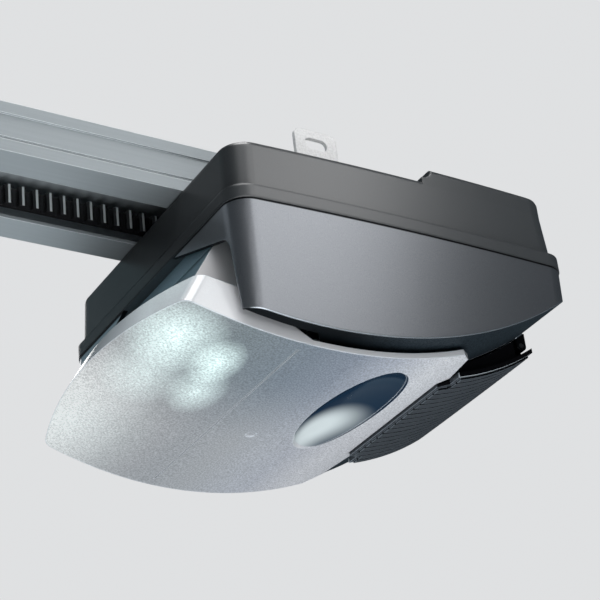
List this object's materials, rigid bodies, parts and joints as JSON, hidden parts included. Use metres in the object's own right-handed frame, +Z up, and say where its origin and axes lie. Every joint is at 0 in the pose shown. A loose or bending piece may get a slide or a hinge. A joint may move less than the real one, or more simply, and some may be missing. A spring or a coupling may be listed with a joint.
{
  "type": "garage door opener",
  "caption": "ceiling-hung garage door opener: drive head with lamp lens and ribbed service cover, wide channel rail, toothed belt and release trolley",
  "frame": {"origin": "midpoint between the slots of the two ceiling ears, on the drive shaft's axis", "axes": "+X along the rail from the door wall towards the rear of the head, +Y across the head, +Z up"},
  "size_m": [0.595, 0.1982, 0.1416],
  "materials": {
    "black_plastic": "fine matte",
    "silver_plastic": "satin silver",
    "lens_plastic": "frosted",
    "pale_plastic": "satin",
    "dark_plastic": "fine matte",
    "button_plastic": "smooth",
    "display_glass": "smooth",
    "circuit_board": "satin",
    "lamp_plastic": "frosted",
    "core_iron": "laminated",
    "copper": "wound",
    "zinc_steel": "zinc plated",
    "steel": "machined",
    "bronze": "sintered",
    "pulley_plastic": "satin",
    "rail_aluminium": "anodised",
    "belt_rubber": "toothed",
    "ear_paint": "satin white",
    "lever_paint": "satin red"
  },
  "bodies": {
    "head": {"base_housing": "black_plastic", "belt": "belt_rubber", "board_screws": "steel", "capacitors": "black_plastic", "control_board": "circuit_board", "control_tray": "dark_plastic", "cover_pins": "steel", "display_window": "display_glass", "ear_far": "ear_paint", "ear_near": "ear_paint", "ear_screws": "steel", "gearbox_case": "dark_plastic", "gearbox_lid": "dark_plastic", "gearbox_screws": "steel", "hood": "silver_plastic", "hood_screws": "steel", "idler_axle": "steel", "idler_fork": "zinc_steel", "inlet_blades": "bronze", "lamp_board": "circuit_board", "lamp_board_screws": "steel", "lamp_housing": "pale_plastic", "lamp_post_screws": "steel", "lamps": "lamp_plastic", "lens_pins": "steel", "mains_inlet": "black_plastic", "motor_can": "zinc_steel", "motor_end_cap": "dark_plastic", "motor_screws": "steel", "rail": "rail_aluminium", "rail_screws": "steel", "relays": "black_plastic", "shaft_bearings": "bronze", "tension_nut": "zinc_steel", "terminal_block": "button_plastic", "transformer_coil": "copper", "transformer_core": "core_iron", "transformer_screws": "steel", "transformer_strap": "zinc_steel", "wall_bracket": "zinc_steel", "worm_bearings": "bronze"},
    "trolley": {"trolley_body": "dark_plastic", "belt_clamp": "dark_plastic", "lever_pin": "steel"},
    "lever": {"release_lever": "lever_paint"},
    "latch": {"latch_pin": "steel"},
    "drive": {"output_shaft": "steel", "worm_wheel": "pale_plastic", "drive_pulley": "pulley_plastic", "pulley_clip": "steel"},
    "idler": {"idler_pulley": "pulley_plastic"},
    "worm": {"worm_shaft": "steel", "armature": "core_iron"},
    "lens": {"lens": "lens_plastic"},
    "cover": {"service_cover": "dark_plastic"},
    "button_a": {"button_up": "button_plastic"},
    "button_b": {"button_program": "button_plastic"},
    "button_c": {"button_down": "button_plastic"}
  },
  "joints": [
    {"name": "trolley_slide", "type": "slide", "parent": "head", "child": "trolley", "axis": [1, 0, 0], "range_m": [-0.08, 0.065]},
    {"name": "drive_spin", "type": "hinge", "parent": "head", "child": "drive", "pos_m": [0, 0, -0.019], "axis": [0, 0, 1], "continuous": true},
    {"name": "idler_spin", "type": "hinge", "parent": "head", "child": "idler", "pos_m": [-0.384, 0, -0.019], "axis": [0, 0, 1], "continuous": true},
    {"name": "worm_spin", "type": "hinge", "parent": "head", "child": "worm", "pos_m": [0, 0.0324, -0.045], "axis": [1, 0, 0], "continuous": true},
    {"name": "lever_hinge", "type": "hinge", "parent": "trolley", "child": "lever", "pos_m": [-0.207, 0.0175, -0.033], "axis": [0, 1, 0], "range_deg": [0, 40]},
    {"name": "latch_slide", "type": "slide", "parent": "trolley", "child": "latch", "axis": [0, 0, -1], "range_m": [0, 0.008]},
    {"name": "lens_hinge", "type": "hinge", "parent": "head", "child": "lens", "pos_m": [-0.07, 0, -0.101], "axis": [0, 1, 0], "range_deg": [0, 45]},
    {"name": "cover_hinge", "type": "hinge", "parent": "head", "child": "cover", "pos_m": [0.14, 0, -0.08352], "axis": [0, -1, 0], "range_deg": [0, 45]},
    {"name": "button_up_press", "type": "slide", "parent": "head", "child": "button_a", "axis": [0, 0, 1], "range_m": [0, 0.001], "stiffness_N_per_m": 400},
    {"name": "button_program_press", "type": "slide", "parent": "head", "child": "button_b", "axis": [0, 0, 1], "range_m": [0, 0.001], "stiffness_N_per_m": 400},
    {"name": "button_down_press", "type": "slide", "parent": "head", "child": "button_c", "axis": [0, 0, 1], "range_m": [0, 0.001], "stiffness_N_per_m": 400}
  ],
  "couplings": [
    {"joint": "drive_spin", "follows": "trolley_slide", "rad_per_m": 49.087},
    {"joint": "idler_spin", "follows": "trolley_slide", "rad_per_m": 49.087},
    {"joint": "worm_spin", "follows": "trolley_slide", "rad_per_m": 736.31},
    {"joint": "latch_slide", "follows": "lever_hinge", "m_per_rad": 0.0114}
  ]
}
